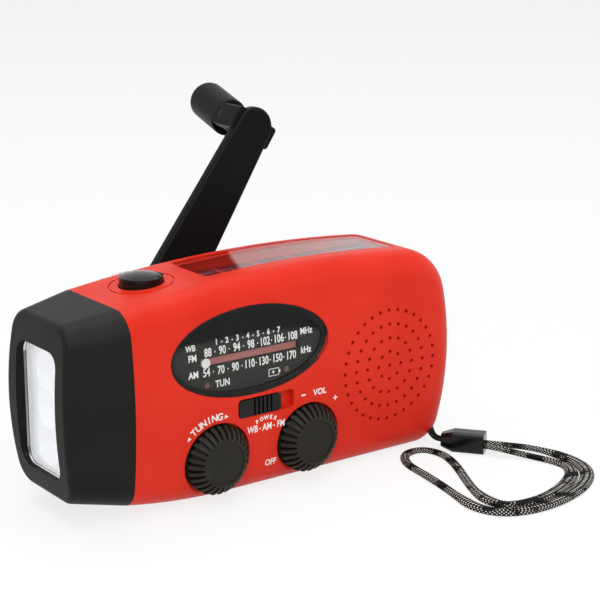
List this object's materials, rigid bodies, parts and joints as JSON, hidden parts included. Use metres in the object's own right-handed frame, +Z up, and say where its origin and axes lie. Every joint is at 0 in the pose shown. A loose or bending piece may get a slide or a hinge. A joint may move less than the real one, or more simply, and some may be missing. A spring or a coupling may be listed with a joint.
{
  "type": "emergency radio",
  "caption": "Pocket radio with torch head, hand crank, solar cell on top, tuning dial, speaker grille, folding telescopic aerial and wrist strap.",
  "frame": {"origin": "on the surface the radio stands on, near the middle of the case", "axes": "+X along the case from the lamp to the strap end, dial faces -Y, +Z up"},
  "size_m": [0.1434, 0.1285, 0.1007],
  "materials": {
    "red_case": "satin moulded plastic",
    "charcoal_case": "soft-touch coating",
    "black_rubber": "matt rubber",
    "clear_plastic": "clear polycarbonate",
    "reflector_plating": "vacuum-plated",
    "led_resin": "clear resin",
    "board_green": "solder mask",
    "dial_black": "screen printed",
    "white_plastic": "gloss",
    "black_plastic": "satin black",
    "steel": "zinc plated",
    "chrome_tube": "bright plated brass",
    "bush_bronze": "sintered bronze",
    "ferrite": "ferrite",
    "copper_wire": "enamelled wire",
    "cell_wrap": "heat-shrink wrap",
    "solar_cell": "silicon under resin",
    "cone_paper": "paper cone",
    "strap_braid": "braided polyester"
  },
  "bodies": {
    "case": {"front_shell": "red_case", "rear_shell": "red_case", "lamp_head": "charcoal_case", "lamp_lens": "clear_plastic", "dial_window": "clear_plastic", "solar_window": "clear_plastic", "reflector": "reflector_plating", "lamp_leds": "led_resin", "indicator_leds": "led_resin", "main_board": "board_green", "lamp_board": "board_green", "dial_plate": "dial_black", "tuning_capacitor": "white_plastic", "strap_clip": "black_plastic", "band_switch": "black_plastic", "battery_tray": "black_plastic", "gear_plate": "black_plastic", "torch_switch": "black_plastic", "case_screws": "steel", "inner_screws": "steel", "generator_case": "steel", "volume_pot": "steel", "speaker_frame": "steel", "battery_contacts": "steel", "charge_socket": "steel", "strap_pin": "steel", "speaker_magnet": "steel", "crank_bush": "bush_bronze", "ferrite_rod": "ferrite", "aerial_coil": "copper_wire", "generator_coil": "copper_wire", "battery_cells": "cell_wrap", "solar_cell": "solar_cell", "speaker_cone": "cone_paper", "strap_ribbon": "strap_braid", "strap_string": "strap_braid", "dial_cord": "strap_braid"},
    "tuning": {"tuning_knob": "black_plastic", "tuning_shaft": "steel"},
    "pointer": {"dial_pointer": "white_plastic"},
    "volume": {"volume_knob": "black_plastic", "volume_shaft": "steel"},
    "slider": {"band_slider": "black_plastic"},
    "button": {"torch_button": "black_plastic"},
    "door": {"battery_door": "red_case"},
    "cover": {"socket_cover": "black_rubber"},
    "crank": {"crank_arm": "black_plastic", "crank_screw": "steel", "crank_shaft": "steel", "drive_gear": "white_plastic", "grip_pin": "steel"},
    "grip_bracket": {"grip_post": "black_plastic"},
    "grip": {"crank_grip": "black_plastic"},
    "idler_one": {"first_idler": "white_plastic"},
    "idler_two": {"second_idler": "white_plastic"},
    "rotor": {"generator_rotor": "ferrite"},
    "aerial_foot": {"aerial_base": "chrome_tube"},
    "aerial_one": {"aerial_tube_1": "chrome_tube"},
    "aerial_two": {"aerial_tube_2": "chrome_tube"},
    "aerial_three": {"aerial_tip": "chrome_tube"}
  },
  "joints": [
    {"name": "crank_spin", "type": "hinge", "parent": "case", "child": "crank", "pos_m": [-0.0168, 0.021, 0.0326], "axis": [0, 1, 0], "continuous": true},
    {"name": "idler_one_spin", "type": "hinge", "parent": "case", "child": "idler_one", "pos_m": [-0.00255, 0.012, 0.02064], "axis": [0, 1, 0], "continuous": true},
    {"name": "idler_two_spin", "type": "hinge", "parent": "case", "child": "idler_two", "pos_m": [0.00462, 0.01, 0.03088], "axis": [0, 1, 0], "continuous": true},
    {"name": "rotor_spin", "type": "hinge", "parent": "case", "child": "rotor", "pos_m": [0.00553, 0, 0.04134], "axis": [0, 1, 0], "continuous": true},
    {"name": "grip_fold", "type": "hinge", "parent": "crank", "child": "grip_bracket", "pos_m": [0.02283, 0.0308, 0.09091], "axis": [0.8271, 0, -0.5621], "range_deg": [-105, 0]},
    {"name": "grip_spin", "type": "hinge", "parent": "grip_bracket", "child": "grip", "pos_m": [0.02283, 0.0308, 0.09091], "axis": [0.1455, 0.9659, 0.2141], "continuous": true},
    {"name": "tuning_turn", "type": "hinge", "parent": "case", "child": "tuning", "pos_m": [-0.0185, -0.02, 0.0123], "axis": [0, 1, 0], "range_deg": [0, 300]},
    {"name": "pointer_travel", "type": "slide", "parent": "case", "child": "pointer", "axis": [1, 0, 0], "range_m": [0, 0.02854]},
    {"name": "volume_turn", "type": "hinge", "parent": "case", "child": "volume", "pos_m": [0.011, -0.02, 0.0123], "axis": [0, 1, 0], "range_deg": [0, 285]},
    {"name": "band_slide", "type": "slide", "parent": "case", "child": "slider", "axis": [1, 0, 0], "range_m": [0, 0.0043]},
    {"name": "torch_press", "type": "slide", "parent": "case", "child": "button", "axis": [0, 0, -1], "range_m": [0, 0.0014], "stiffness_N_per_m": 400, "springref_m": -0.001},
    {"name": "door_off", "type": "slide", "parent": "case", "child": "door", "axis": [0, 1, 0], "range_m": [0, 0.012]},
    {"name": "cover_open", "type": "hinge", "parent": "case", "child": "cover", "pos_m": [0.0631, 0.0061, 0.032], "axis": [0, 0, 1], "range_deg": [0, 95]},
    {"name": "aerial_swivel", "type": "hinge", "parent": "case", "child": "aerial_foot", "pos_m": [-0.0277, 0.016, 0.0548], "axis": [1, 0, 0], "range_deg": [-90, 0]},
    {"name": "aerial_lift", "type": "hinge", "parent": "aerial_foot", "child": "aerial_one", "pos_m": [-0.0245, 0.016, 0.0548], "axis": [0, -1, 0], "range_deg": [0, 90]},
    {"name": "aerial_draw_one", "type": "slide", "parent": "aerial_one", "child": "aerial_two", "axis": [1, 0, 0], "range_m": [0, 0.055]},
    {"name": "aerial_draw_two", "type": "slide", "parent": "aerial_two", "child": "aerial_three", "axis": [1, 0, 0], "range_m": [0, 0.055]}
  ],
  "couplings": [
    {"joint": "idler_one_spin", "follows": "crank_spin", "ratio": -3.4286},
    {"joint": "idler_two_spin", "follows": "crank_spin", "ratio": 8.8163},
    {"joint": "rotor_spin", "follows": "crank_spin", "ratio": -22.041},
    {"joint": "pointer_travel", "follows": "tuning_turn", "m_per_rad": 0.00545}
  ]
}
